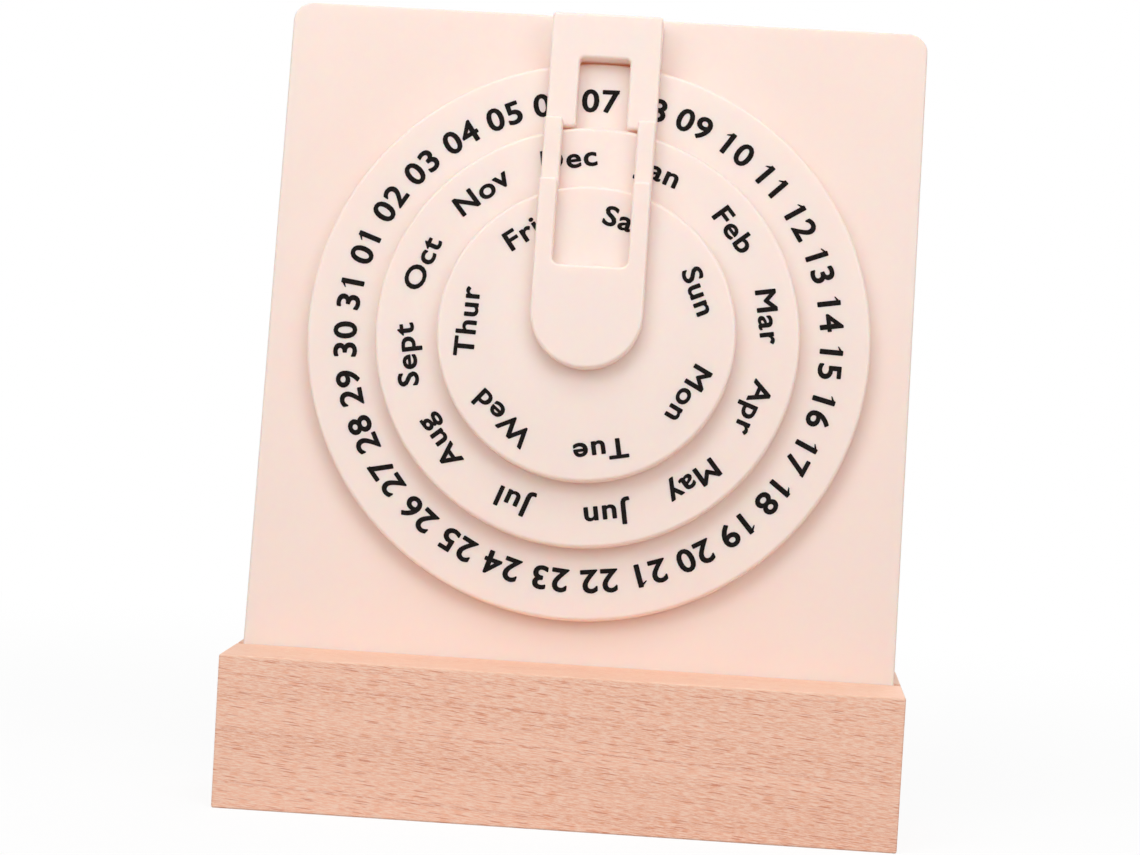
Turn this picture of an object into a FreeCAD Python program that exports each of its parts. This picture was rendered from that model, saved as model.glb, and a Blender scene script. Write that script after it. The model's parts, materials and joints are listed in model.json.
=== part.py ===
"""Perpetual desk calendar: a wooden block, a leaning plate, three dials and a pointer with a window.

Millimetres. X runs across the object, -Y is its front and +Z is up. The origin is the centre of
the block's underside.

Everything on the plate is drawn in the plate's own directions and then leaned back with it: x
across, y up along the plate from the dial axis, and z forwards from the plate's front face.
"""
import FreeCAD, Part
import os
import re

import Sketcher

SIZES = (
    ("base_width", 135, "wooden block, left to right"),
    ("base_depth", 45, "wooden block, front to back"),
    ("base_height", 30.5, "wooden block"),
    ("base_edge", 0.4, "rounding of the block's edges"),
    ("ledge_depth", 20, "top of the block in front of the plate"),
    ("groove_depth", 15, "groove, measured down along the plate"),
    ("groove_clearance", 0.15, "gap between plate and groove on each side"),
    ("lean_angle", 10, "how far the plate leans back, in degrees"),
    ("plate_width", 132, "plate, left to right"),
    ("plate_rise", 134.5, "plate above the block, along the plate"),
    ("plate_thickness", 3, "plate"),
    ("plate_corner", 4, "radius of the plate's top corners"),
    ("plate_edge", 0.5, "rounding of the plate's outline"),
    ("dial_foot_gap", 8.7, "plate between the block and the date dial"),
    ("dial_head_gap", 10.8, "plate between the date dial and the plate's top"),
    ("month_band", 14.4, "from the date dial's rim in to the month dial's"),
    ("weekday_band", 12.9, "from the month dial's rim in to the weekday dial's"),
    ("dial_thickness", 3.2, "each dial at its hub and rim"),
    ("dial_play", 0.1, "end play of each dial between its washers"),
    ("dial_recess", 1.2, "depth of the relief behind each dial"),
    ("dial_ring", 2.5, "width of the full-depth ring at each dial's rim"),
    ("dial_edge", 0.7, "rounding of each dial's front edge"),
    ("dial_back_edge", 0.3, "rounding of each dial's back edge"),
    ("washer_radius", 7, "washers between the dials, and the bush's flange"),
    ("washer_thickness", 0.5, "washers between the dials, and the bush's flange"),
    ("spindle_radius", 4, "barrel of the bush, which the dials turn on"),
    ("spigot_radius", 3.5, "end of the bush that seats in the plate"),
    ("spigot_gap", 0.2, "how far the spigot stops short of the plate's back"),
    ("stud_radius", 2.8, "stud behind the pointer's boss, inside the bush"),
    ("stud_start", 1.5, "end of the stud in front of the plate"),
    ("running_clearance", 0.06, "radial gap between the bush and what is round it"),
    ("seat_clearance", 0.05, "radial gap between pieces that seat in one another"),
    ("through_clearance", 0.2, "radial gap round a screw where it passes through"),
    ("pointer_width", 22.7, "pointer, left to right"),
    ("pointer_thickness", 3.1, "pointer's strip"),
    ("pointer_head_gap", 1.2, "plate above the pointer"),
    ("pointer_corner", 0.7, "radius of the strip's outer corners"),
    ("pointer_edge", 0.6, "rounding of the pointer's front edges"),
    ("rim_clearance", 0.3, "gap between a dial's rim and what the pointer has beside it"),
    ("riser_thickness", 1.3, "wall where the strip steps forward"),
    ("boss_drop", 7.75, "lower end of the pointer below the dial axis"),
    ("window_bottom", 13.1, "bottom of the window above the dial axis"),
    ("date_window_width", 10.4, "window over the date dial"),
    ("window_width", 15.3, "window over the month and weekday dials"),
    ("window_top_corner", 1, "radius of the window's top corners"),
    ("window_bottom_corner", 1.5, "radius of the window's bottom corners"),
    ("date_arm_corner", 1, "radius at the lower ends of the narrow window's sides"),
    ("main_screw_radius", 1.5, "spindle screw"),
    ("main_screw_length", 10, "spindle screw under its head"),
    ("main_head_radius", 2.9, "spindle screw's head"),
    ("main_head_height", 2, "spindle screw's head"),
    ("main_washer_radius", 5, "washer under the spindle screw's head"),
    ("main_washer_thickness", 0.8, "washer under the spindle screw's head"),
    ("small_screw_radius", 1.1, "pointer's two screws"),
    ("small_screw_length", 8, "pointer's two screws under their heads"),
    ("small_head_radius", 2.2, "heads of the pointer's two screws"),
    ("small_head_height", 1.5, "heads of the pointer's two screws"),
    ("small_screw_spacing", 13, "between the pointer's two screws"),
    ("hole_spare", 1, "depth of each screw hole past its screw's tip"),
    ("head_edge", 0.7, "rounding of the screws' heads"),
    ("cross_width", 0.7, "arms of the cross in a screw's head"),
    ("cross_margin", 0.9, "between the end of an arm and the head's rim"),
    ("cross_depth", 0.9, "cross in a screw's head"),
)

DERIVED = (
    ("date_radius", "=(plate_rise - dial_foot_gap - dial_head_gap) / 2"),
    ("month_radius", "=date_radius - month_band"),
    ("weekday_radius", "=month_radius - weekday_band"),
    ("axis_rise", "=dial_foot_gap + date_radius"),
    ("plate_face_y", "=ledge_depth - base_depth / 2"),
    ("axis_y", "=plate_face_y + axis_rise * sin(lean_angle)"),
    ("axis_height", "=base_height + axis_rise * cos(lean_angle)"),
    ("plate_top", "=plate_rise - axis_rise"),
    ("plate_bottom", "=-axis_rise - groove_depth"),
    ("bore_radius", "=spindle_radius + running_clearance"),
    ("dial_pitch", "=washer_thickness + dial_thickness + dial_play"),
    ("stack_height", "=3 * dial_pitch + washer_thickness"),
    ("strip_back", "=dial_pitch + washer_thickness"),
    ("strip_front", "=strip_back + pointer_thickness"),
    ("pointer_top", "=plate_top - pointer_head_gap"),
    ("foot_bottom", "=date_radius + rim_clearance"),
    ("boss_rise", "=pointer_width / 2 - boss_drop"),
    ("date_arm_end", "=sqrt(pow(month_radius + rim_clearance; 2) - pow(date_window_width / 2; 2))"),
    ("month_arm_end", "=sqrt(pow(weekday_radius + rim_clearance; 2) - pow(window_width / 2; 2))"),
    ("date_step", "=date_arm_end + riser_thickness"),
    ("month_step", "=month_arm_end + riser_thickness"),
    ("small_screw_rise", "=(foot_bottom + pointer_top) / 2"),
)

NAMES = {entry[0] for entry in SIZES + DERIVED}
DIALS = ("date", "month", "weekday")
TOLERANCE = 1e-3

doc = FreeCAD.newDocument("perpetual_desk_calendar")
sheet = doc.addObject("Spreadsheet::Sheet", "Sizes")


def fill_sheet():
    """Write each size with its meaning and its name, then the places that follow from them."""
    for row, (name, size, meaning) in enumerate(SIZES, 1):
        sheet.set(f"A{row}", meaning)
        sheet.set(f"B{row}", str(size))
        sheet.setAlias(f"B{row}", name)
    for row, (name, formula) in enumerate(DERIVED, len(SIZES) + 1):
        sheet.set(f"B{row}", formula)
        sheet.setAlias(f"B{row}", name)
    doc.recompute()


def bound(formula):
    """A formula on the sheet's names, as it is written outside the sheet."""
    return re.sub(r"[a-z_]+", lambda word: ("Sizes." if word[0] in NAMES else "") + word[0], formula)


def value(formula):
    """The number that a formula gives."""
    return float(sheet.evalExpression(bound(formula)))


def bind(feature, name, formula):
    """Tie one property of a feature to a formula."""
    feature.setExpression(name, bound(formula))


def new_body(label):
    """An empty body, named as its node."""
    body = doc.addObject("PartDesign::Body", label)
    body.Label = label
    return body


def lean(body, forward="0", up="0", across="0"):
    """Place a body on the plate: its distances from the dial axis on the plate's front face."""
    body.Placement.Rotation = FreeCAD.Rotation(FreeCAD.Vector(1, 0, 0), 1)
    bind(body, "Placement.Rotation.Angle", "90 - lean_angle")
    bind(body, "Placement.Base.x", across)
    bind(body, "Placement.Base.y", f"axis_y + ({up}) * sin(lean_angle) - ({forward}) * cos(lean_angle)")
    bind(body, "Placement.Base.z", f"axis_height + ({up}) * cos(lean_angle) + ({forward}) * sin(lean_angle)")


def new_sketch(body, plane_role, height="0"):
    """A sketch on one of the body's own planes, moved along that plane's normal by a height."""
    plane = next(part for part in body.Origin.OriginFeatures if part.Role == plane_role)
    sketch = body.newObject("Sketcher::SketchObject", f"{body.Label}_sketch")
    sketch.AttachmentSupport = [(plane, "")]
    sketch.MapMode = "FlatFace"
    bind(sketch, "AttachmentOffset.Base.z", height)
    return sketch


def dimension(sketch, kind, formula, *where):
    """A dimension of a sketch, tied to a formula."""
    index = sketch.addConstraint(Sketcher.Constraint(kind, *where, value(formula)))
    bind(sketch, f"Constraints[{index}]", formula)


def add_polygon(sketch, corners):
    """A closed outline through corners given as pairs of formulas."""
    count = len(corners)
    places = [FreeCAD.Vector(value(across), value(up), 0) for across, up in corners]
    for index, place in enumerate(places):
        sketch.addGeometry(Part.LineSegment(place, places[(index + 1) % count]), False)
    for index, (across, up) in enumerate(corners):
        following = (index + 1) % count
        sketch.addConstraint(Sketcher.Constraint("Coincident", index, 2, following, 1))
        dimension(sketch, "DistanceX", across, -1, 1, index, 1)
        dimension(sketch, "DistanceY", up, -1, 1, index, 1)


def add_rectangle(sketch, half_width, low, high):
    """A rectangle centred on the sketch's upright axis."""
    left = f"-{half_width}"
    add_polygon(sketch, ((left, low), (half_width, low), (half_width, high), (left, high)))


def add_circle(sketch, radius, across="0", up="0"):
    """A circle about a point given by formulas."""
    centre = FreeCAD.Vector(value(across), value(up), 0)
    index = sketch.addGeometry(Part.Circle(centre, FreeCAD.Vector(0, 0, 1), value(radius)), False)
    dimension(sketch, "DistanceX", across, -1, 1, index, 3)
    dimension(sketch, "DistanceY", up, -1, 1, index, 3)
    dimension(sketch, "Radius", radius, index)


def pad(body, sketch, length, symmetric=False):
    """Solid along a sketch's normal, or half to each side of the sketch."""
    feature = body.newObject("PartDesign::Pad", f"{body.Label}_pad")
    feature.Profile = sketch
    bind(feature, "Length", length)
    if symmetric:
        feature.SideType = "Symmetric"
    doc.recompute()


def cut(body, sketch, depth=None, symmetric=False):
    """Material taken out along a sketch's normal, to a depth or right through."""
    before = body.Shape.Volume
    feature = body.newObject("PartDesign::Pocket", f"{body.Label}_cut")
    feature.Profile = sketch
    feature.Reversed = not symmetric
    if depth is None:
        feature.Type = "ThroughAll"
    else:
        bind(feature, "Length", depth)
    if symmetric:
        feature.SideType = "Symmetric"
    doc.recompute()
    if body.Shape.Volume > before - TOLERANCE:
        raise RuntimeError(f"{feature.Name} takes nothing out")


def turn(body, profile):
    """Solid of revolution about the body's z axis, from (radius, height) formulas."""
    sketch = new_sketch(body, "XZ_Plane")
    add_polygon(sketch, profile)
    feature = body.newObject("PartDesign::Revolution", f"{body.Label}_turned")
    feature.Profile = sketch
    feature.ReferenceAxis = (sketch, ["V_Axis"])
    feature.Angle = 360
    doc.recompute()


def round_edges(body, radius, wanted):
    """Round each edge that the test picks, by a radius."""
    base = body.Tip
    names = [f"Edge{number}" for number, edge in enumerate(base.Shape.Edges, 1) if wanted(edge)]
    if not names:
        raise RuntimeError(f"{body.Label} has no edge for {radius}")
    feature = body.newObject("PartDesign::Fillet", f"{body.Label}_round")
    feature.Base = (base, names)
    bind(feature, "Radius", radius)
    doc.recompute()


def near(one, other):
    """Whether two numbers are the same place."""
    return abs(one - other) < TOLERANCE


def level(edge, height):
    """Whether an edge lies flat at a height formula."""
    return near(edge.BoundBox.ZMin, value(height)) and near(edge.BoundBox.ZMax, value(height))


def upright(edge, across, up):
    """Whether an edge runs along z, at that distance to either side and that distance up."""
    box = edge.BoundBox
    straight = near(box.XLength, 0) and near(box.YLength, 0)
    return straight and near(abs(box.XMin), value(across)) and near(box.YMin, value(up))


def wooden_base():
    """Block with a groove from end to end, which leans back as the plate does."""
    body = new_body("wooden_base")
    sketch = new_sketch(body, "YZ_Plane")
    add_rectangle(sketch, "base_depth / 2", "0", "base_height")
    pad(body, sketch, "base_width", symmetric=True)
    round_edges(body, "base_edge", lambda edge: True)

    back = "(-plate_thickness - groove_clearance)"
    corners = [
        (
            f"plate_face_y - {forward} * cos(lean_angle) - {down} * sin(lean_angle)",
            f"base_height + {forward} * sin(lean_angle) - {down} * cos(lean_angle)",
        )
        for forward, down in (
            ("groove_clearance", "(-groove_depth)"),
            ("groove_clearance", "groove_depth"),
            (back, "groove_depth"),
            (back, "(-groove_depth)"),
        )
    ]
    groove = new_sketch(body, "YZ_Plane")
    add_polygon(groove, corners)
    cut(body, groove, symmetric=True)


def back_plate():
    """Plate that stands in the groove, with a seat for the bush and holes for two screws."""
    body = new_body("back_plate")
    lean(body, "-plate_thickness")
    sketch = new_sketch(body, "XY_Plane")
    add_rectangle(sketch, "plate_width / 2", "plate_bottom", "plate_top")
    pad(body, sketch, "plate_thickness")
    round_edges(body, "plate_corner", lambda edge: upright(edge, "plate_width / 2", "plate_top"))
    round_edges(
        body, "plate_edge", lambda edge: level(edge, "0") or level(edge, "plate_thickness")
    )
    holes = new_sketch(body, "XY_Plane")
    add_circle(holes, "spigot_radius + seat_clearance")
    cut(body, holes)
    for side in ("-small_screw_spacing / 2", "small_screw_spacing / 2"):
        holes = new_sketch(body, "XY_Plane")
        add_circle(holes, "small_screw_radius + through_clearance", side, "small_screw_rise")
        cut(body, holes)


def dial(name, order):
    """Disc that turns on the bush: full depth at hub and rim, and relieved between them behind."""
    body = new_body(f"{name}_dial")
    lean(body, f"{order} * dial_pitch + washer_thickness + dial_play / 2")
    radius = f"{name}_radius"
    ring = f"{radius} - dial_ring"
    turn(body, (
        ("bore_radius", "0"),
        ("washer_radius", "0"),
        ("washer_radius", "dial_recess"),
        (ring, "dial_recess"),
        (ring, "0"),
        (radius, "0"),
        (radius, "dial_thickness"),
        ("bore_radius", "dial_thickness"),
    ))
    for size, height in (("dial_edge", "dial_thickness"), ("dial_back_edge", "0")):
        round_edges(
            body,
            size,
            lambda edge: level(edge, height) and near(edge.BoundBox.XMax, value(radius)),
        )


def dial_spindle():
    """Bush: a spigot seated in the plate, a flange on its face and the barrel the dials turn on."""
    body = new_body("dial_spindle")
    lean(body)
    stud_bore = "stud_radius + seat_clearance"
    screw_bore = "main_screw_radius + through_clearance"
    spigot_end = "spigot_gap - plate_thickness"
    stud_floor = "stud_start - spigot_gap"
    turn(body, (
        (screw_bore, spigot_end),
        ("spigot_radius", spigot_end),
        ("spigot_radius", "0"),
        ("washer_radius", "0"),
        ("washer_radius", "washer_thickness"),
        ("spindle_radius", "washer_thickness"),
        ("spindle_radius", "stack_height"),
        (stud_bore, "stack_height"),
        (stud_bore, stud_floor),
        (screw_bore, stud_floor),
    ))


def washer(label, forward, bore, radius, thickness):
    """Flat washer on the dial axis."""
    body = new_body(label)
    lean(body, forward)
    sketch = new_sketch(body, "XY_Plane")
    add_circle(sketch, radius)
    hole = new_sketch(body, "XY_Plane")
    add_circle(hole, bore)
    pad(body, sketch, thickness)
    cut(body, hole)


def pan_screw(label, size, count=1, **place):
    """Screws with a rounded head and a cross in it, their tips forwards, in a row across."""
    body = new_body(label)
    lean(body, **place)
    shank = f"{size}_screw_radius"
    length = f"{size}_screw_length"
    head = f"{size}_head_radius"
    back = f"-{size}_head_height"
    turn(body, (
        ("0", back),
        (head, back),
        (head, "0"),
        (shank, "0"),
        (shank, f"{length} - {shank}"),
        ("0", length),
    ))
    round_edges(
        body, "head_edge", lambda edge: level(edge, back) and near(edge.BoundBox.XMax, value(head))
    )
    reach = f"({head} - cross_margin)"
    half = "(cross_width / 2)"
    arm = ((reach, f"-{half}"), (reach, half), (half, half))
    opposite = tuple((f"-{across}", f"-({up})") for across, up in arm)
    cross = new_sketch(body, "XY_Plane", back)
    add_polygon(cross, (
        *arm,
        (half, reach),
        (f"-{half}", reach),
        (f"-{half}", half),
        *opposite,
        (f"-{half}", f"-{reach}"),
        (half, f"-{reach}"),
        (half, f"-{half}"),
    ))
    cut(body, cross, "cross_depth")
    if count > 1:
        row = body.newObject("PartDesign::LinearPattern", f"{label}_row")
        row.TransformMode = "Whole shape"
        row.Direction = (next(p for p in body.Origin.OriginFeatures if p.Role == "X_Axis"), [""])
        bind(row, "Length", f"{size}_screw_spacing")
        row.Occurrences = count
        body.Tip = row
        doc.recompute()


def pointer_frame():
    """Strip that steps over the three dials, with a foot on the plate and a stud in the bush."""
    body = new_body("pointer_frame")
    lean(body)
    month_front = "strip_front + dial_pitch"
    month_back = "strip_back + dial_pitch"
    weekday_front = "strip_front + 2 * dial_pitch"

    # Side view: up along the plate to the right, forwards from the plate upwards.
    strip = new_sketch(body, "YZ_Plane")
    add_polygon(strip, (
        ("pointer_top", "0"),
        ("pointer_top", "strip_front"),
        ("date_step", "strip_front"),
        ("date_step", month_front),
        ("month_step", month_front),
        ("month_step", weekday_front),
        ("boss_rise", weekday_front),
        ("boss_rise", "stack_height"),
        ("month_arm_end", "stack_height"),
        ("month_arm_end", month_back),
        ("date_arm_end", month_back),
        ("date_arm_end", "strip_back"),
        ("foot_bottom", "strip_back"),
        ("foot_bottom", "0"),
    ))
    pad(body, strip, "pointer_width", symmetric=True)
    boss = new_sketch(body, "XY_Plane", "stack_height")
    add_circle(boss, "pointer_width / 2", up="boss_rise")
    pad(body, boss, "pointer_thickness")

    date_window = new_sketch(body, "XY_Plane")
    add_rectangle(date_window, "date_window_width / 2", "window_bottom", "foot_bottom")
    cut(body, date_window)
    window = new_sketch(body, "XY_Plane", "strip_front")
    add_rectangle(window, "window_width / 2", "window_bottom", "date_step + riser_thickness")
    cut(body, window)
    round_corners(body)
    round_edges(body, "pointer_edge", lambda edge: on_front(body.Tip.Shape, edge))

    stud = new_sketch(body, "XY_Plane", "stud_start")
    add_circle(stud, "stud_radius")
    pad(body, stud, "stack_height - stud_start")
    hole = new_sketch(body, "XY_Plane", "stud_start")
    add_circle(hole, "main_screw_radius + seat_clearance")
    behind = "plate_thickness + main_washer_thickness + stud_start"
    cut(body, hole, f"main_screw_length - ({behind}) + hole_spare")
    for side in ("-small_screw_spacing / 2", "small_screw_spacing / 2"):
        hole = new_sketch(body, "XY_Plane")
        add_circle(hole, "small_screw_radius + seat_clearance", side, "small_screw_rise")
        cut(body, hole, "small_screw_length - plate_thickness + hole_spare")


def round_corners(body):
    """Round the pointer's corners as they are seen from the front."""
    outer = "pointer_width / 2"
    inner = "window_width / 2"
    narrow = "date_window_width / 2"
    groups = (
        ("pointer_corner", ((outer, "pointer_top"), (outer, "date_step"), (outer, "month_step"),
                            (inner, "date_step"), (inner, "month_step"))),
        ("window_top_corner", ((narrow, "foot_bottom"),)),
        ("date_arm_corner", ((narrow, "date_arm_end"),)),
        ("window_bottom_corner", ((inner, "window_bottom"),)),
    )
    for radius, spots in groups:
        round_edges(body, radius, lambda edge: any(upright(edge, *spot) for spot in spots))


def on_front(shape, edge):
    """Whether an edge lies on one of the strip's front faces, with nothing rising beside it."""
    fronts = ("strip_front", "strip_front + dial_pitch", "strip_front + 2 * dial_pitch")
    if not any(level(edge, front) for front in fronts):
        return False
    middle = edge.valueAt((edge.FirstParameter + edge.LastParameter) / 2)
    step = 0.05
    beside = [
        middle + FreeCAD.Vector(across, up, step)
        for across in (-step, 0, step)
        for up in (-step, 0, step)
    ]
    return not any(shape.isInside(point, TOLERANCE, False) for point in beside)


def check_and_write():
    """Stop if anything in the document failed, and otherwise write each piece's file."""
    os.makedirs("parts", exist_ok=True)
    for thing in doc.Objects:
        if "Invalid" in thing.State or "Error" in thing.State:
            raise RuntimeError(f"{thing.Name} failed")
    bodies = doc.findObjects("PartDesign::Body")
    for body in bodies:
        if body.Shape.isNull() or not body.Shape.isValid():
            raise RuntimeError(f"{body.Label} is not a sound solid")
    for body in bodies:
        body.Shape.exportStep(f"parts/{body.Label}.step")
        print(f"{body.Label}: {len(body.Shape.Solids)} solid, {body.Shape.Volume:.1f} mm3")


fill_sheet()
wooden_base()
back_plate()
for order, name in enumerate(DIALS):
    dial(name, order)
dial_spindle()
for order, name in enumerate(("month", "weekday", "pointer"), 1):
    washer(f"{name}_washer", f"{order} * dial_pitch", "bore_radius", "washer_radius", "washer_thickness")
pointer_frame()
washer(
    "spindle_screw_washer",
    "-plate_thickness - main_washer_thickness",
    "main_screw_radius + through_clearance",
    "main_washer_radius",
    "main_washer_thickness",
)
pan_screw("spindle_screw", "main", forward="-plate_thickness - main_washer_thickness")
pan_screw(
    "pointer_screws",
    "small",
    count=2,
    forward="-plate_thickness",
    up="small_screw_rise",
    across="-small_screw_spacing / 2",
)
check_and_write()
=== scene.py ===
"""Looks of a perpetual desk calendar: beech, moulded plastic, printed words and a white stage.

Metres. X runs across the object, -Y is its front and +Z is up, as in the frame. On a dial's face
x runs across, y up along the leaning dial and z out of the face.
"""

import json
import math

import bmesh
import bpy
from bpy.props import FloatProperty, FloatVectorProperty, IntProperty, PointerProperty
from bpy.types import Operator, Panel, PropertyGroup
from mathutils import Matrix, Vector
from mathutils.geometry import delaunay_2d_cdt

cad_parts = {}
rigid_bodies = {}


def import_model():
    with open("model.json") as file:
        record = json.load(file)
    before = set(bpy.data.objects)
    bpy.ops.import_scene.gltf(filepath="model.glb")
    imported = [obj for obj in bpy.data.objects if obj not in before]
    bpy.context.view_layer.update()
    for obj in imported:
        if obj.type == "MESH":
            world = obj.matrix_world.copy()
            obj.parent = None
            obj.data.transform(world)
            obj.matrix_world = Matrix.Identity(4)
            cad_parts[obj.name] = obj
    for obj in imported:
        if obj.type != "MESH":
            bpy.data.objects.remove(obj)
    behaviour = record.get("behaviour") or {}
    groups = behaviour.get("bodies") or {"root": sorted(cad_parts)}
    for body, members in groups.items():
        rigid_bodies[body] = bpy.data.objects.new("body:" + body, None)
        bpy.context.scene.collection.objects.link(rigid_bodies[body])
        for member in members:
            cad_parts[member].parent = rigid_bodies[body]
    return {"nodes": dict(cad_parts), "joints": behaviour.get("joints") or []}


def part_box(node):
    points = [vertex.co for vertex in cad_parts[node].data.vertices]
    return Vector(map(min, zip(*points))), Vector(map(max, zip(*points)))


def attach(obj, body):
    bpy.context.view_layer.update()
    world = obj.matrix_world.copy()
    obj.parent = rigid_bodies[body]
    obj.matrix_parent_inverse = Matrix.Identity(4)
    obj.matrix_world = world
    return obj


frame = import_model()

bl_info = {
    "name": "Perpetual desk calendar",
    "version": (1, 0, 0),
    "blender": (4, 5, 0),
    "location": "3D View > Sidebar > Calendar",
    "description": "Finishes, printed words and stage of a perpetual desk calendar",
    "category": "Object",
}

MM = 0.001
WEEKDAYS = ("Sun", "Mon", "Tue", "Wed", "Thur", "Fri", "Sat")
MONTHS = ("Jan", "Feb", "Mar", "Apr", "May", "Jun", "Jul", "Aug", "Sept", "Oct", "Nov", "Dec")
DATES = tuple(f"{day:02d}" for day in range(1, 32))

# A capital's height and the corners of the flag on top of a one, in letter sizes. Points closer
# together than WELD are one point, and faces smaller than SLIVER are none.
CAPITAL = 0.69
FLAG = ((0.01, 0), (-0.13, -0.13), (-0.13, -0.17), (0.01, -0.1))
WELD = 1e-4
SLIVER = 1e-5

# How the beech's grain leans on the block's front, and how many of each mark come in a metre
# along, through and up the block.
GRAIN = (0, math.radians(-2.5), 0)
STEEP_GRAIN = (0, math.radians(-5), 0)
STREAKS = (7, 60, 170)
LINES = (5, 60, 800)
FIBRES = (450, 3200, 5000)
FLECKS = (190, 900, 2600)
RAGS = (700, 3000, 6000)

# How many marks of the other finishes come in a metre: clouds and skin of the plastic, turning
# marks of the steel, uneven cover of the ink and specks of the floor's paint.
CLOUD = (14, 14, 14)
SKIN = (2600, 2600, 2600)
TURNING = (900, 900, 6000)
COVER = (1800, 1800, 1800)
SPECKS = (30, 30, 30)

# How far red, green and blue light goes in the plastic, and what its clouds leave of each.
SCATTER = (1, 0.4, 0.22)
WARMTH = (0.99, 0.965, 0.95)

# Where the camera stands, and which way its picture's right and lower sides lie.
CAMERA = (0.033423, -0.62943, 0.104267)
PICTURE_RIGHT = (0.996596, 0.058816, 0.057764)
PICTURE_DOWN = (0.060046, -0.037796, -0.997480)

# What the lamps point at, and each lamp's name, power setting, side and place.
MIDDLE = (0, 0, 0.08)
LAMPS = (
    ("overhead", "overhead", 0.45, (-0.03, -0.32, 0.62)),
    ("left", "sides", 0.5, (-0.6, -0.75, 0.55)),
    ("right", "sides", 0.5, (0.6, -0.75, 0.55)),
    ("behind", "behind", 0.6, (0.3, 0.8, 0.6)),
)


def tone(code):
    """Linear colour of a screen colour written as six hexadecimal digits."""
    parts = (int(code[place:place + 2], 16) / 255 for place in (0, 2, 4))
    return tuple(
        part / 12.92 if part <= 0.04045 else ((part + 0.055) / 1.055) ** 2.4 for part in parts
    )


def colour(name, code, description):
    """A colour property whose default is a screen colour."""
    return FloatVectorProperty(
        name=name, description=description, default=tone(code), subtype="COLOR", min=0, max=1
    )


def share(name, default, description, low=0, high=2):
    """A property for a share of something."""
    return FloatProperty(
        name=name, description=description, default=default, subtype="FACTOR", min=low, max=high
    )


def power(name, default, description):
    """A property for a lamp's power."""
    return FloatProperty(name=name, description=description, default=default, unit="POWER")


def length(name, millimetres, description):
    """A length property whose default is in millimetres."""
    return FloatProperty(
        name=name,
        description=description,
        default=millimetres * MM,
        unit="LENGTH",
        subtype="DISTANCE",
        precision=5,
    )


def angle(name, degrees, description):
    """An angle property whose default is in degrees."""
    return FloatProperty(
        name=name,
        description=description,
        default=math.radians(degrees),
        unit="ROTATION",
        subtype="ANGLE",
    )


class CALENDAR_PG_finishes(PropertyGroup):
    """Colours of the calendar's finishes."""

    beech: colour("Beech", "F9C0A3", "Wood of the block between its flecks")
    beech_streak: colour("Beech streak", "EBAB8C", "Darker streaks along the wood")
    beech_fibre: colour("Beech fibre", "FFE2D0", "Fine pale fibres")
    beech_fleck: colour("Beech fleck", "CC6440", "Short flecks in the wood")
    # Painted light: the block's upper face is coloured paler than its front, for the light that
    # falls on the top from above.
    beech_lit_top: colour("Beech top", "F4CAB0", "Smoother wood on the block's upper face")
    # Painted shade: the plate is the dials' plastic in a slightly deeper colour, for the shade it
    # lies in behind and below the dials.
    plate: colour("Plate", "EDE1DA", "Moulded plate")
    dial: colour("Dials", "EFE4DE", "Moulded dials and pointer")
    # Painted glow: a warm colour that the plastics give off as a faint light of their own, to warm
    # their shadows, though they are no lamp.
    painted_glow: colour("Glow", "FF8A4C", "Light that comes through the plastic")
    bush: colour("Bush", "E9E6DF", "Bush and washers")
    steel: colour("Steel", "B7B6B2", "Screws and their washer")
    ink: colour("Ink", "15110F", "Printed words")


class CALENDAR_PG_print(PropertyGroup):
    """Sizes and places of the words on the dials."""

    date_height: length("Date height", 4.85, "Height of the dates")
    date_radius: length("Date radius", 49.6, "Middle of the dates from the dial's middle")
    date_start: angle("Date start", -70.4, "Place of the first one, clockwise from the top")
    month_height: length("Month height", 4.3, "Height of the months' capitals")
    month_radius: length("Month radius", 36.9, "Middle of the months from the dial's middle")
    month_start: angle("Month start", 20.3, "Place of the first one, clockwise from the top")
    weekday_height: length("Weekday height", 4.2, "Height of the weekdays' capitals")
    weekday_radius: length("Weekday radius", 24.2, "Middle of the weekdays from the dial's middle")
    weekday_start: angle("Weekday start", 66.3, "Place of the first one, clockwise from the top")
    growth: share("Boldness", 0.025, "Thickening of a stroke's sides, in letter sizes", 0.005, 0.06)
    spacing: share("Letter spacing", 1.1, "Distance from letter to letter, of the plain one", 0.8)
    date_width: share("Date width", 1.12, "Stretch of the dates' figures across", 0.5)
    word_width: share("Word width", 1.16, "Stretch of the months' and weekdays' letters", 0.5)
    thickness: length("Ink thickness", 0.04, "How far the ink stands off the face")
    depth: length("Ink depth", 0.02, "How far the ink reaches into the face")
    corners: IntProperty(
        name="Round corners",
        description="Sides of the small polygon that rounds each corner of a stroke",
        default=8,
        min=4,
        max=16,
    )


class CALENDAR_PG_stage(PropertyGroup):
    """Camera, lamps and floor."""

    lens: length("Lens", 98.5, "Focal length of the camera")
    floor: length("Floor", 3000, "Side of the square floor")
    overhead: power("Overhead", 1.97, "Power of the lamp above")
    sides: power("Sides", 2.2, "Power of each lamp in front, left and right")
    behind: power("Behind", 1.6, "Power of the lamp behind")
    surround: share("Surround", 0.3, "Light from all round")
    paint: colour("Floor paint", "FFFFFF", "White of the floor")
    paint_speck: colour("Floor speck", "F9F8F7", "Faint specks in the floor's paint")
    paint_bounce: colour("Floor bounce", "CBC6C2", "What the floor throws back at the calendar")


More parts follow.
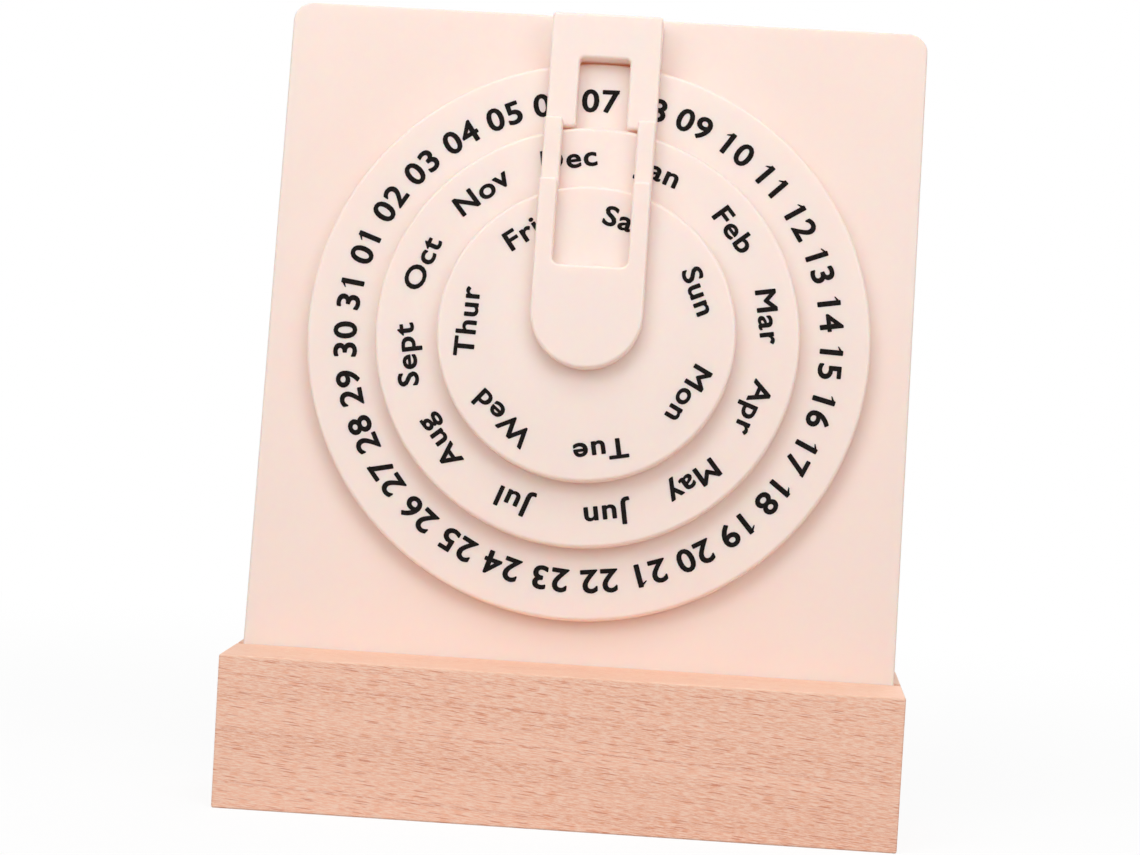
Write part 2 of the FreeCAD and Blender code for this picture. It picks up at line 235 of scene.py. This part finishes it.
class Wire:
    """One output in a material's node tree. Arithmetic on it adds Math nodes."""

    def __init__(self, finish, socket):
        self.finish = finish
        self.socket = socket

    def calculate(self, operation, *values):
        """Add a Math node that works on wires and numbers."""
        inputs = dict(enumerate(values))
        return self.finish.node("ShaderNodeMath", {"operation": operation}, inputs)

    def __add__(self, other):
        return self.calculate("ADD", self, other)

    def __sub__(self, other):
        return self.calculate("SUBTRACT", self, other)

    def __rsub__(self, other):
        return self.calculate("SUBTRACT", other, self)

    def __mul__(self, other):
        return self.calculate("MULTIPLY", self, other)

    __radd__ = __add__
    __rmul__ = __mul__


class Finish:
    """A material in the making: a node tree that ends in one Principled shader."""

    def __init__(self, name, constants):
        self.material = bpy.data.materials.new(name)
        self.material.use_nodes = True
        self.tree = self.material.node_tree
        self.shader = next(node for node in self.tree.nodes if node.type == "BSDF_PRINCIPLED")
        for socket, number in constants.items():
            self.shader.inputs[socket].default_value = number

    def node(self, kind, settings, inputs, output=0):
        """Add a node: its settings first, then the values or wires of its sockets."""
        node = self.tree.nodes.new(kind)
        for name, setting in settings.items():
            setattr(node, name, setting)
        for name, given in inputs.items():
            self.feed(node.inputs[name], given)
        return Wire(self, node.outputs[output])

    def feed(self, socket, given):
        """Give a socket a wire or a value."""
        if isinstance(given, Wire):
            self.tree.links.new(given.socket, socket)
        else:
            socket.default_value = given

    def place(self, scale=(1, 1, 1), turn=(0, 0, 0)):
        """The piece's own coordinates, turned and stretched."""
        own = self.node("ShaderNodeTexCoord", {}, {}, "Object")
        turned = self.node("ShaderNodeMapping", {}, {"Vector": own, "Rotation": turn})
        return self.node("ShaderNodeVectorMath", {"operation": "MULTIPLY"}, {0: turned, 1: scale})

    def noise(self, place, detail=2, roughness=0.5, distortion=0):
        """Cloudy noise from 0 to 1 over a place."""
        inputs = {
            "Vector": place,
            "Scale": 1,
            "Detail": detail,
            "Roughness": roughness,
            "Distortion": distortion,
        }
        return self.node("ShaderNodeTexNoise", {}, inputs)

    def stretch(self, wire, low, high, bottom=0, top=1):
        """A wire's stretch from low to high, spread smoothly from bottom to top."""
        settings = {"interpolation_type": "SMOOTHSTEP"}
        inputs = {0: wire, 1: low, 2: high, 3: bottom, 4: top}
        return self.node("ShaderNodeMapRange", settings, inputs)

    def blend(self, mix, first, second):
        """Colours mixed by a share. The node's colours are inputs 6 and 7 and output 2."""
        inputs = {0: mix, 6: opaque(first), 7: opaque(second)}
        return self.node("ShaderNodeMix", {"data_type": "RGBA"}, inputs, 2)

    def show(self, socket, wire):
        """Let a wire drive one of the shader's sockets."""
        self.feed(self.shader.inputs[socket], wire)

    def bump(self, height, strength, distance):
        """Relief from a height wire."""
        inputs = {"Height": height, "Strength": strength, "Distance": distance}
        self.show("Normal", self.node("ShaderNodeBump", {}, inputs))


def opaque(shade):
    """A colour with its fourth number, or the wire as it is."""
    return shade if isinstance(shade, Wire) else (*shade, 1)


def beech(colours, top):
    """Beech: pale wavy streaks, fine fibres, and short dark flecks along the grain."""
    finish = Finish("beech", {"Roughness": 0.55, "IOR": 1.45})
    streaks = finish.noise(finish.place(STREAKS, GRAIN), 4, 0.6, 0.5)
    fibres = finish.noise(finish.place(FIBRES, STEEP_GRAIN), 3, 0.7)
    own = {"Vector": finish.place(FLECKS, STEEP_GRAIN), "Scale": 1, "Randomness": 1}
    cells = finish.node("ShaderNodeTexVoronoi", {"feature": "F1"}, own)
    chance = finish.node("ShaderNodeTexVoronoi", {"feature": "F1"}, own, "Color")
    drawn = finish.node("ShaderNodeSeparateColor", {}, {0: chance}, "Red")
    ragged = finish.noise(finish.place(RAGS, STEEP_GRAIN), 2, 0.5)
    flecks = finish.stretch(cells + (ragged - 0.5) * 0.4, 0.4, 0.16)
    flecks = flecks * finish.stretch(drawn, 0.1, 0.8, 0.2, 1)
    height = finish.node("ShaderNodeSeparateXYZ", {}, {0: finish.place()}, "Z")
    # The upper face and its rounded front edge are painted paler and get fewer flecks: painted
    # light from above.
    upper = finish.stretch(height, top - 0.6 * MM, top - 0.2 * MM)

    streaky = finish.stretch(streaks, 0.36, 0.68) * 0.7
    streaked = finish.blend(streaky, colours.beech, colours.beech_streak)
    lines = finish.noise(finish.place(LINES, GRAIN), 3, 0.6, 0.3)
    lined = finish.blend(finish.stretch(lines, 0.56, 0.74) * 0.5, streaked, colours.beech_fleck)
    pale = finish.blend(finish.stretch(fibres, 0.43, 0.57) * 0.7, lined, colours.beech_fibre)
    marked = finish.blend(flecks * (0.57 - upper * 0.41), pale, colours.beech_fleck)
    finish.show("Base Color", finish.blend(upper * 0.5, marked, colours.beech_lit_top))
    finish.show("Roughness", finish.stretch(fibres, 0.2, 0.8, 0.5, 0.66))
    finish.bump(fibres - flecks * 0.4, 0.25, 0.01 * MM)
    return finish.material


def plastic(name, shade, painted_glow, roughness):
    """Moulded plastic: nearly even, with a faint cloud in it, a fine satin skin and a faint painted
    glow of its own.
    """
    finish = Finish(name, {
        "Roughness": roughness,
        "IOR": 1.46,
        "Specular IOR Level": 0.45,
        "Subsurface Weight": 0.6,
        "Subsurface Radius": SCATTER,
        "Subsurface Scale": 3 * MM,
        # The emission is painted glow: a faint warm light of the plastic's own that stands in for
        # light coming through it into its shadows.
        "Emission Color": opaque(painted_glow),
        "Emission Strength": 0.07,
    })
    cloud = finish.noise(finish.place(CLOUD), 3, 0.5)
    skin = finish.noise(finish.place(SKIN), 2, 0.5)
    warm = tuple(part * warmth for part, warmth in zip(shade, WARMTH))
    finish.show("Base Color", finish.blend(finish.stretch(cloud, 0.3, 0.75), shade, warm))
    uneven = cloud + (skin - 0.5) * 0.3
    finish.show("Roughness", finish.stretch(uneven, 0.3, 0.7, roughness, roughness + 0.06))
    finish.bump(skin, 0.12, 0.02 * MM)
    return finish.material


def steel(shade):
    """Plated steel with fine turning marks."""
    finish = Finish("plated steel", {"Metallic": 1, "Roughness": 0.3})
    marks = finish.noise(finish.place(TURNING), 3, 0.6)
    dull = tuple(part * 0.72 for part in shade)
    finish.show("Base Color", finish.blend(finish.stretch(marks, 0.3, 0.7), shade, dull))
    finish.show("Roughness", finish.stretch(marks, 0.2, 0.8, 0.24, 0.42))
    finish.bump(marks, 0.1, 0.02 * MM)
    return finish.material


def ink(shade):
    """Screen-printed ink, a little uneven in its cover."""
    finish = Finish("printing ink", {"Roughness": 0.5, "Specular IOR Level": 0.03})
    cover = finish.noise(finish.place(COVER), 3, 0.6)
    worn = tuple(part + 0.012 for part in shade)
    finish.show("Base Color", finish.blend(finish.stretch(cover, 0.35, 0.75), shade, worn))
    finish.show("Roughness", finish.stretch(cover, 0.3, 0.7, 0.42, 0.58))
    return finish.material


def dress(names, material):
    """Give CAD nodes one material."""
    for name in names:
        mesh = frame["nodes"][name].data
        mesh.materials.clear()
        mesh.materials.append(material)


def flags(plain):
    """The strokes that lean down to the left from the tops of the ones in a plain date.

    A one is a bare bar in the plain letters, and the only figure with an edge of full height.
    """
    sides = sorted(
        edge.verts[0].co.x
        for edge in plain.edges
        if edge.is_boundary and abs(edge.verts[0].co.y - edge.verts[1].co.y) > 0.95 * CAPITAL
    )
    return [[Vector((left + across, CAPITAL + up)) for across, up in FLAG] for left in sides[::2]]


def bold_word(word, growth, spacing, corners):
    """A flat mesh of a word, its strokes thickened all round, one letter size to the unit.

    Each edge of the plain letters becomes a strip and each corner a small polygon. What these
    and the letters cover together is the thickened word.
    """
    curve = bpy.data.curves.new(word, "FONT")
    curve.body = word
    curve.align_x = "CENTER"
    curve.space_character = spacing
    curve.resolution_u = 4
    writing = bpy.data.objects.new(word, curve)
    plain = bmesh.new()
    plain.from_mesh(bpy.data.meshes.new_from_object(writing))
    bmesh.ops.remove_doubles(plain, verts=plain.verts, dist=WELD)

    steps = [2 * math.pi * step / corners for step in range(corners)]
    circle = [growth * Vector((math.cos(step), math.sin(step))) for step in steps]
    patches = [
        [corner.co.xy for corner in face.verts] for face in plain.faces if face.calc_area() > SLIVER
    ]
    if word.isdigit():
        patches += flags(plain)
    for edge in plain.edges:
        if edge.is_boundary:
            start, end = (corner.co.xy for corner in edge.verts)
            side = growth * (end - start).orthogonal().normalized()
            patches.append([start - side, end - side, end + side, start + side])
    patches += [[corner.co.xy + step for step in circle] for corner in plain.verts]
    plain.free()
    bpy.data.objects.remove(writing)

    points = []
    faces = []
    for patch in patches:
        twice_area = sum(patch[place - 1].cross(corner) for place, corner in enumerate(patch))
        faces.append(list(range(len(points), len(points) + len(patch))))
        points += patch if twice_area > 0 else patch[::-1]
    points, _, faces, _, _, sources = delaunay_2d_cdt(points, [], faces, 0, 1e-5, True)
    covered = [face for face, source in zip(faces, sources) if source]
    mesh = bpy.data.meshes.new(word)
    mesh.from_pydata([(point.x, point.y - CAPITAL / 2, 0) for point in points], [], covered)
    return mesh


def solid_word(word, settings, height):
    """A word as a thin solid, upright, its middle at the origin and its back at the ink's depth."""
    width = settings.date_width if word.isdigit() else settings.word_width
    mesh = bold_word(word, settings.growth, settings.spacing, settings.corners)
    scale = height / (CAPITAL + 2 * settings.growth)
    solid = bmesh.new()
    solid.from_mesh(mesh)
    loose = [corner for corner in solid.verts if not corner.link_faces]
    bmesh.ops.delete(solid, geom=loose, context="VERTS")
    bmesh.ops.dissolve_limit(
        solid, angle_limit=math.radians(2), verts=solid.verts, edges=solid.edges
    )
    bmesh.ops.scale(solid, vec=(width * scale, scale, 1), verts=solid.verts)
    bmesh.ops.translate(solid, vec=(0, 0, -settings.depth), verts=solid.verts)
    raised = bmesh.ops.extrude_face_region(solid, geom=solid.faces[:])
    corners = [part for part in raised["geom"] if isinstance(part, bmesh.types.BMVert)]
    bmesh.ops.translate(solid, vec=(0, 0, settings.depth + settings.thickness), verts=corners)
    bmesh.ops.recalc_face_normals(solid, faces=solid.faces)
    solid.to_mesh(mesh)
    solid.free()
    return mesh


def node_in(tree, kind, settings, inputs):
    """Add a geometry node with its settings and its sockets' values or links."""
    node = tree.nodes.new(kind)
    for name, setting in settings.items():
        setattr(node, name, setting)
    for name, given in inputs.items():
        if isinstance(given, bpy.types.NodeSocket):
            tree.links.new(given, node.inputs[name])
        else:
            node.inputs[name].default_value = given
    return node


def ring_tree():
    """Geometry nodes that set the words of a collection round a circle, their tops outwards."""
    tree = bpy.data.node_groups.new("Words round a dial", "GeometryNodeTree")
    for name, kind in (
        ("Words", "NodeSocketCollection"),
        ("Count", "NodeSocketInt"),
        ("Radius", "NodeSocketFloat"),
        ("Start", "NodeSocketFloat"),
        ("Ink", "NodeSocketMaterial"),
    ):
        tree.interface.new_socket(name, in_out="INPUT", socket_type=kind)
    tree.interface.new_socket("Geometry", in_out="OUTPUT", socket_type="NodeSocketGeometry")
    given = node_in(tree, "NodeGroupInput", {}, {}).outputs
    order = node_in(tree, "GeometryNodeInputIndex", {}, {}).outputs[0]

    def maths(operation, *values):
        inputs = dict(enumerate(values))
        return node_in(tree, "ShaderNodeMath", {"operation": operation}, inputs).outputs[0]

    def vector(**parts):
        return node_in(tree, "ShaderNodeCombineXYZ", {}, parts).outputs[0]

    step = maths("DIVIDE", 2 * math.pi, given["Count"])
    turn = maths("MULTIPLY_ADD", order, step, given["Start"])
    across = maths("MULTIPLY", maths("SINE", turn), given["Radius"])
    up = maths("MULTIPLY", maths("COSINE", turn), given["Radius"])
    points = node_in(tree, "GeometryNodePoints", {}, {
        "Count": given["Count"],
        "Position": vector(X=across, Y=up),
    })
    words = node_in(tree, "GeometryNodeCollectionInfo", {}, {
        "Collection": given["Words"],
        "Separate Children": True,
        "Reset Children": True,
    })
    placed = node_in(tree, "GeometryNodeInstanceOnPoints", {}, {
        "Points": points.outputs[0],
        "Instance": words.outputs[0],
        "Pick Instance": True,
        "Instance Index": order,
        "Rotation": vector(Z=maths("MULTIPLY", turn, -1)),
    })
    real = node_in(tree, "GeometryNodeRealizeInstances", {}, {0: placed.outputs[0]})
    inked = node_in(tree, "GeometryNodeSetMaterial", {}, {
        "Geometry": real.outputs[0],
        "Material": given["Ink"],
    })
    node_in(tree, "NodeGroupOutput", {}, {"Geometry": inked.outputs[0]})
    return tree


def dial_face(dial):
    """Place of a dial's printed face, from its hinge and its own mesh."""
    hinge = next(joint for joint in frame["joints"] if joint["child"] == dial)
    out = Vector(hinge["axis"])
    across = Vector((1, 0, 0))
    up = out.cross(across)
    face = max(out.dot(corner.co) for corner in frame["nodes"][dial].data.vertices)
    middle = Vector(hinge["pos_m"])
    middle += out * (face - out.dot(middle))
    return Matrix.Translation(middle) @ Matrix((across, up, out)).transposed().to_4x4()


def print_dial(name, words, settings, tree, material):
    """Print words round one dial, as one plain mesh that turns with it."""
    height, radius, start = (
        getattr(settings, f"{name}_{part}") for part in ("height", "radius", "start")
    )
    collection = bpy.data.collections.new(f"{name} words")
    for order, word in enumerate(words):
        piece = bpy.data.objects.new(f"{order:02d} {word}", solid_word(word, settings, height))
        collection.objects.link(piece)
    ring = bpy.data.objects.new(f"{name} ring", bpy.data.meshes.new(f"{name} ring"))
    bpy.context.scene.collection.objects.link(ring)
    modifier = ring.modifiers.new("Words round a dial", "NODES")
    modifier.node_group = tree
    given = {
        "Words": collection,
        "Count": len(words),
        "Radius": radius,
        "Start": start,
        "Ink": material,
    }
    for item in tree.interface.items_tree:
        if item.in_out == "INPUT":
            modifier[item.identifier] = given[item.name]
    bpy.context.view_layer.update()
    evaluated = ring.evaluated_get(bpy.context.evaluated_depsgraph_get())
    mesh = bpy.data.meshes.new_from_object(evaluated)
    bpy.data.objects.remove(ring)
    for piece in list(collection.objects):
        bpy.data.objects.remove(piece)
    bpy.data.collections.remove(collection)

    dial = f"{name}_dial"
    mesh.transform(dial_face(dial))
    mesh.name = f"{name}_print"
    printed = bpy.data.objects.new(f"{name}_print", mesh)
    bpy.context.scene.collection.objects.link(printed)
    if not mesh.polygons:
        raise RuntimeError(f"{name} dial has no print")
    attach(printed, dial)


class CALENDAR_OT_block(Operator):
    """Give the block its beech."""

    bl_idname = "calendar.block"
    bl_label = "Beech block"

    def execute(self, context):
        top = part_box("wooden_base")[1].z
        dress(("wooden_base",), beech(context.scene.calendar_finishes, top))
        return {"FINISHED"}


class CALENDAR_OT_moulded(Operator):
    """Give the plate, the dials and the pointer their plastic."""

    bl_idname = "calendar.moulded"
    bl_label = "Plate, dials and pointer"

    def execute(self, context):
        colours = context.scene.calendar_finishes
        dials = ("date_dial", "month_dial", "weekday_dial", "pointer_frame")
        # The plate's plastic is a deeper copy of the dials' plastic: painted shade.
        shaded_plate_plastic = plastic("plate plastic", tuple(colours.plate), colours.painted_glow, 0.36)
        dress(("back_plate",), shaded_plate_plastic)
        dress(dials, plastic("dial plastic", tuple(colours.dial), colours.painted_glow, 0.36))
        return {"FINISHED"}


class CALENDAR_OT_fittings(Operator):
    """Give the bush, the washers and the screws their finishes."""

    bl_idname = "calendar.fittings"
    bl_label = "Bush, washers and screws"

    def execute(self, context):
        colours = context.scene.calendar_finishes
        washers = ("dial_spindle", "month_washer", "weekday_washer", "pointer_washer")
        screws = ("spindle_screw", "spindle_screw_washer", "pointer_screws")
        dress(washers, plastic("bush plastic", tuple(colours.bush), colours.painted_glow, 0.38))
        dress(screws, steel(tuple(colours.steel)))
        return {"FINISHED"}


class CALENDAR_OT_print(Operator):
    """Print the dates, the months and the weekdays on their dials."""

    bl_idname = "calendar.print"
    bl_label = "Printed words"

    def execute(self, context):
        settings = context.scene.calendar_print
        tree = ring_tree()
        material = ink(tuple(context.scene.calendar_finishes.ink))
        for name, words in (("date", DATES), ("month", MONTHS), ("weekday", WEEKDAYS)):
            print_dial(name, words, settings, tree, material)
        return {"FINISHED"}


def lamp(name, watts, size, place):
    """A square soft lamp that points at the calendar's middle."""
    light = bpy.data.lights.new(name, "AREA")
    light.energy = watts
    light.size = size
    stand = bpy.data.objects.new(name, light)
    stand.location = place
    stand.rotation_euler = (Vector(MIDDLE) - Vector(place)).to_track_quat("-Z", "Y").to_euler()
    bpy.context.scene.collection.objects.link(stand)


def white_world(surround):
    """Light from all round, and white to the camera, in mirrors and through clear pieces."""
    world = bpy.data.worlds.new("studio")
    world.use_nodes = True
    bpy.context.scene.world = world
    tree = world.node_tree
    background = next(node for node in tree.nodes if node.type == "BACKGROUND")
    background.inputs["Color"].default_value = (1, 1, 1, 1)
    rays = tree.nodes.new("ShaderNodeLightPath").outputs
    seen = rays["Is Camera Ray"]
    for name in ("Is Glossy Ray", "Is Transmission Ray"):
        either = tree.nodes.new("ShaderNodeMath")
        either.operation = "MAXIMUM"
        tree.links.new(seen, either.inputs[0])
        tree.links.new(rays[name], either.inputs[1])
        seen = either.outputs[0]
    strength = tree.nodes.new("ShaderNodeMapRange")
    strength.inputs["To Min"].default_value = surround
    strength.inputs["To Max"].default_value = 1
    tree.links.new(seen, strength.inputs["Value"])
    tree.links.new(strength.outputs[0], background.inputs["Strength"])


def floor_paint(settings):
    """White floor that keeps a faint shadow near the calendar, and is plain white further off.

    Only the camera sees it white, so that it throws little light up under the object.
    """
    finish = Finish("floor paint", {"Roughness": 0.9})
    specks = finish.noise(finish.place(SPECKS), 2)
    camera_ray = finish.node("ShaderNodeLightPath", {}, {}, "Is Camera Ray")
    white_paint = finish.blend(specks, settings.paint_speck, settings.paint)
    finish.show("Base Color", finish.blend(camera_ray, settings.paint_bounce, white_paint))
    tree = finish.tree
    white = tree.nodes.new("ShaderNodeEmission")
    mixed = tree.nodes.new("ShaderNodeMixShader")
    length_of = {"operation": "LENGTH"}
    away = finish.node("ShaderNodeVectorMath", length_of, {0: finish.place()}, "Value")
    plain = finish.stretch(away, 0.12, 0.4, 0.9, 1)
    finish.feed(mixed.inputs[0], camera_ray * plain)
    tree.links.new(finish.shader.outputs[0], mixed.inputs[1])
    tree.links.new(white.outputs[0], mixed.inputs[2])
    output = next(node for node in tree.nodes if node.type == "OUTPUT_MATERIAL")
    tree.links.new(mixed.outputs[0], output.inputs["Surface"])
    return finish.material


class CALENDAR_OT_stage(Operator):
    """Set up the floor, the lamps and the camera."""

    bl_idname = "calendar.stage"
    bl_label = "Stage"

    def execute(self, context):
        settings = context.scene.calendar_stage
        half = settings.floor / 2
        corners = [(-half, -half, 0), (half, -half, 0), (half, half, 0), (-half, half, 0)]
        mesh = bpy.data.meshes.new("floor")
        mesh.from_pydata(corners, [], [(0, 1, 2, 3)])
        mesh.materials.append(floor_paint(settings))
        floor = bpy.data.objects.new("floor", mesh)
        context.scene.collection.objects.link(floor)
        white_world(settings.surround)
        for name, setting, size, place in LAMPS:
            lamp(name, getattr(settings, setting), size, place)

        data = bpy.data.cameras.new("camera")
        data.lens = settings.lens / MM
        data.sensor_width = 36
        camera = bpy.data.objects.new("camera", data)
        right = Vector(PICTURE_RIGHT)
        up = -Vector(PICTURE_DOWN)
        turn = Matrix((right, up, right.cross(up))).transposed()
        camera.matrix_world = Matrix.Translation(CAMERA) @ turn.to_4x4()
        context.scene.collection.objects.link(camera)
        context.scene.camera = camera
        context.scene.view_settings.view_transform = "Standard"
        return {"FINISHED"}


class CALENDAR_PT_panel(Panel):
    """Buttons for each part of the calendar's looks."""

    bl_label = "Perpetual calendar"
    bl_space_type = "VIEW_3D"
    bl_region_type = "UI"
    bl_category = "Calendar"

    def draw(self, context):
        scene = context.scene
        for settings in (scene.calendar_finishes, scene.calendar_print, scene.calendar_stage):
            box = self.layout.box()
            for name in settings.__annotations__:
                box.prop(settings, name)
        for operator in OPERATORS:
            self.layout.operator(operator.bl_idname)


OPERATORS = (
    CALENDAR_OT_block,
    CALENDAR_OT_moulded,
    CALENDAR_OT_fittings,
    CALENDAR_OT_print,
    CALENDAR_OT_stage,
)
GROUPS = {
    "calendar_finishes": CALENDAR_PG_finishes,
    "calendar_print": CALENDAR_PG_print,
    "calendar_stage": CALENDAR_PG_stage,
}


def register():
    """Register the classes and hang the settings on the scene."""
    for item in (*GROUPS.values(), *OPERATORS, CALENDAR_PT_panel):
        bpy.utils.register_class(item)
    for name, group in GROUPS.items():
        setattr(bpy.types.Scene, name, PointerProperty(type=group))


def unregister():
    """Take the settings off the scene and the classes out."""
    for name in GROUPS:
        delattr(bpy.types.Scene, name)
    for item in (CALENDAR_PT_panel, *reversed(OPERATORS), *GROUPS.values()):
        bpy.utils.unregister_class(item)


def main():
    """Dress the calendar."""
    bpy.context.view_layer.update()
    register()
    bpy.ops.calendar.block()
    bpy.ops.calendar.moulded()
    bpy.ops.calendar.fittings()
    bpy.ops.calendar.print()
    bpy.ops.calendar.stage()


if __name__ == "__main__":
    main()
